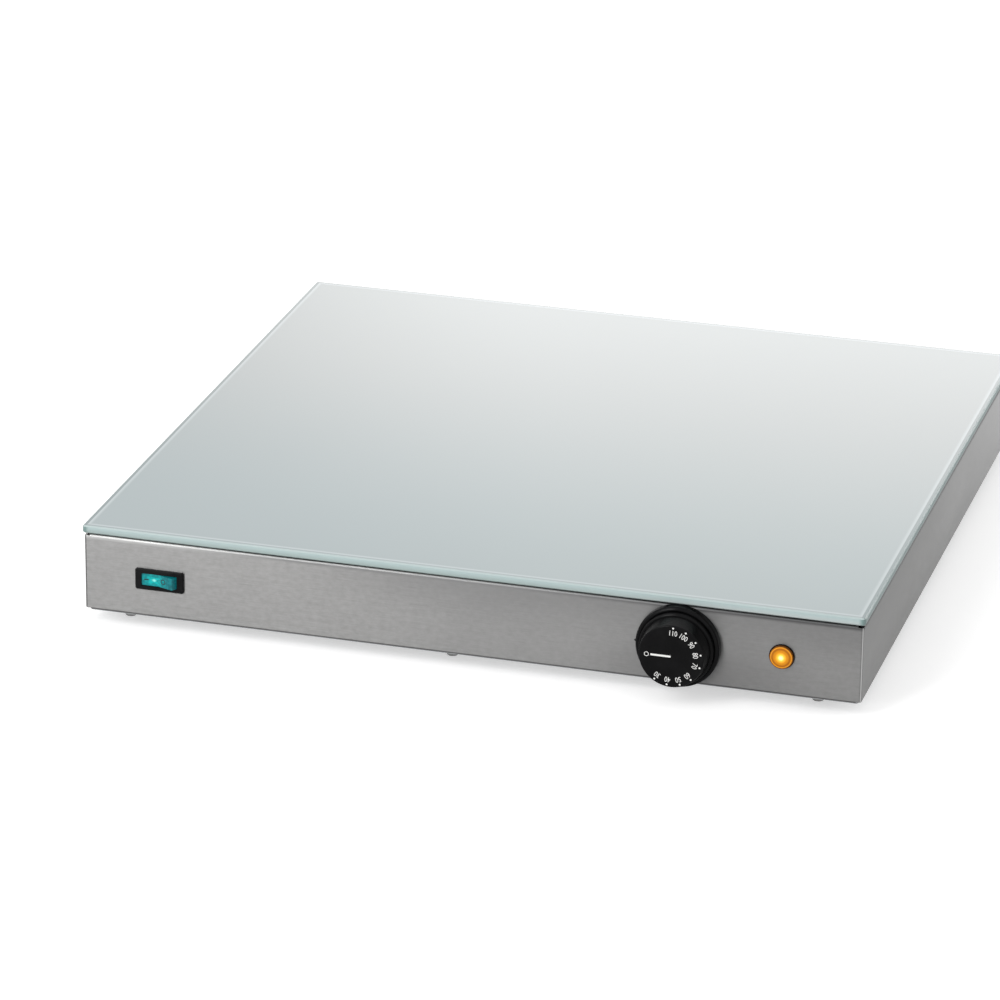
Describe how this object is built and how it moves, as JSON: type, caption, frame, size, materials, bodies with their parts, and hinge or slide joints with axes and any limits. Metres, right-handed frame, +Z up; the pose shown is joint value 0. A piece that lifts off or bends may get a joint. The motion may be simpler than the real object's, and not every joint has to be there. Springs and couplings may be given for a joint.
{
  "type": "electric food warmer tray",
  "caption": "Flat glass-topped food warming tray in a brushed steel casing, with a numbered dial, a lit rocker switch and a pilot lamp on its front.",
  "frame": {"origin": "on the surface it stands on, under the middle of the whole object's box", "axes": "+Z up, front with the dial towards -Y, +X to the right seen from the front"},
  "size_m": [0.502, 0.5188, 0.066],
  "materials": {
    "enamelled_glass": "polished toughened glass, pale grey-green enamel underneath",
    "silicone": "matt silicone",
    "stainless": "brushed stainless steel",
    "zinc_sheet": "zinc-coated sheet",
    "screw_steel": "bright zinc-plated steel",
    "rubber_black": "moulded rubber",
    "spreader_aluminium": "mill-finish aluminium",
    "silicone_red": "silicone rubber heating mat",
    "mineral_board": "mineral fibre board",
    "dial_black": "semi-gloss black",
    "switch_black": "matt black",
    "rocker_teal": "see-through teal, lit from behind",
    "neon_glass": "small glow lamp",
    "lens_amber": "see-through amber, lit from behind",
    "stat_cream": "moulded thermostat case",
    "copper": "bare copper",
    "tab_brass": "tinned brass",
    "nylon_clear": "natural nylon",
    "gland_grey": "black nylon",
    "wire_brown": "silicone insulation",
    "wire_blue": "silicone insulation",
    "wire_white": "glass-fibre sleeve",
    "wire_green": "green and yellow insulation"
  },
  "bodies": {
    "tray": {"glass_top": "enamelled_glass", "glass_seal": "silicone", "casing": "stainless", "bottom_plate": "zinc_sheet", "bottom_screws": "screw_steel", "foot_screws": "screw_steel", "foot_nuts": "screw_steel", "heat_spreader": "spreader_aluminium", "heating_mat": "silicone_red", "insulation": "mineral_board", "insulation_tray": "zinc_sheet", "bar_nuts": "screw_steel", "thermostat_bulb": "copper", "bulb_clip": "zinc_sheet", "spreader_nuts": "screw_steel", "thermal_cutout": "stat_cream", "cutout_terminals": "tab_brass", "cutout_receptacles": "tab_brass", "thermostat_body": "stat_cream", "thermostat_terminals": "tab_brass", "thermostat_receptacles": "tab_brass", "thermostat_screws": "screw_steel", "thermostat_capillary": "copper", "knob_bezel": "dial_black", "switch_housing": "switch_black", "switch_terminals": "tab_brass", "switch_receptacles": "tab_brass", "lamp_lens": "lens_amber", "lamp_holder": "switch_black", "lamp_clip": "screw_steel", "lamp_neon": "neon_glass", "gland_body": "gland_grey", "gland_seal": "rubber_black", "gland_dome_nut": "gland_grey", "gland_locknut": "gland_grey", "terminal_block": "nylon_clear", "terminal_screws": "screw_steel", "block_screws": "screw_steel", "earth_ring": "tab_brass", "earth_nut": "screw_steel", "foot_front_left": "rubber_black", "foot_front_right": "rubber_black", "foot_back_left": "rubber_black", "foot_back_right": "rubber_black", "support_bar_front": "zinc_sheet", "support_bar_back": "zinc_sheet", "wire_line_in": "wire_brown", "wire_switched_line": "wire_brown", "wire_switch_neutral": "wire_blue", "wire_cutout_line": "wire_white", "wire_mat_line": "wire_white", "wire_mat_neutral": "wire_blue", "wire_lamp_line": "wire_brown", "wire_lamp_neutral": "wire_blue", "wire_earth": "wire_green"},
    "dial": {"knob": "dial_black", "knob_spring": "screw_steel", "thermostat_spindle": "screw_steel"},
    "rocker": {"switch_rocker": "rocker_teal", "switch_neon": "neon_glass"}
  },
  "joints": [
    {"name": "dial_turn", "type": "hinge", "parent": "tray", "child": "dial", "pos_m": [0.1355, -0.2483, 0.0343], "axis": [0, 1, 0], "range_deg": [0, 270]},
    {"name": "rocker_tip", "type": "hinge", "parent": "tray", "child": "rocker", "pos_m": [-0.2, -0.2361, 0.0346], "axis": [0, 0, 1], "range_deg": [0, 20]}
  ]
}
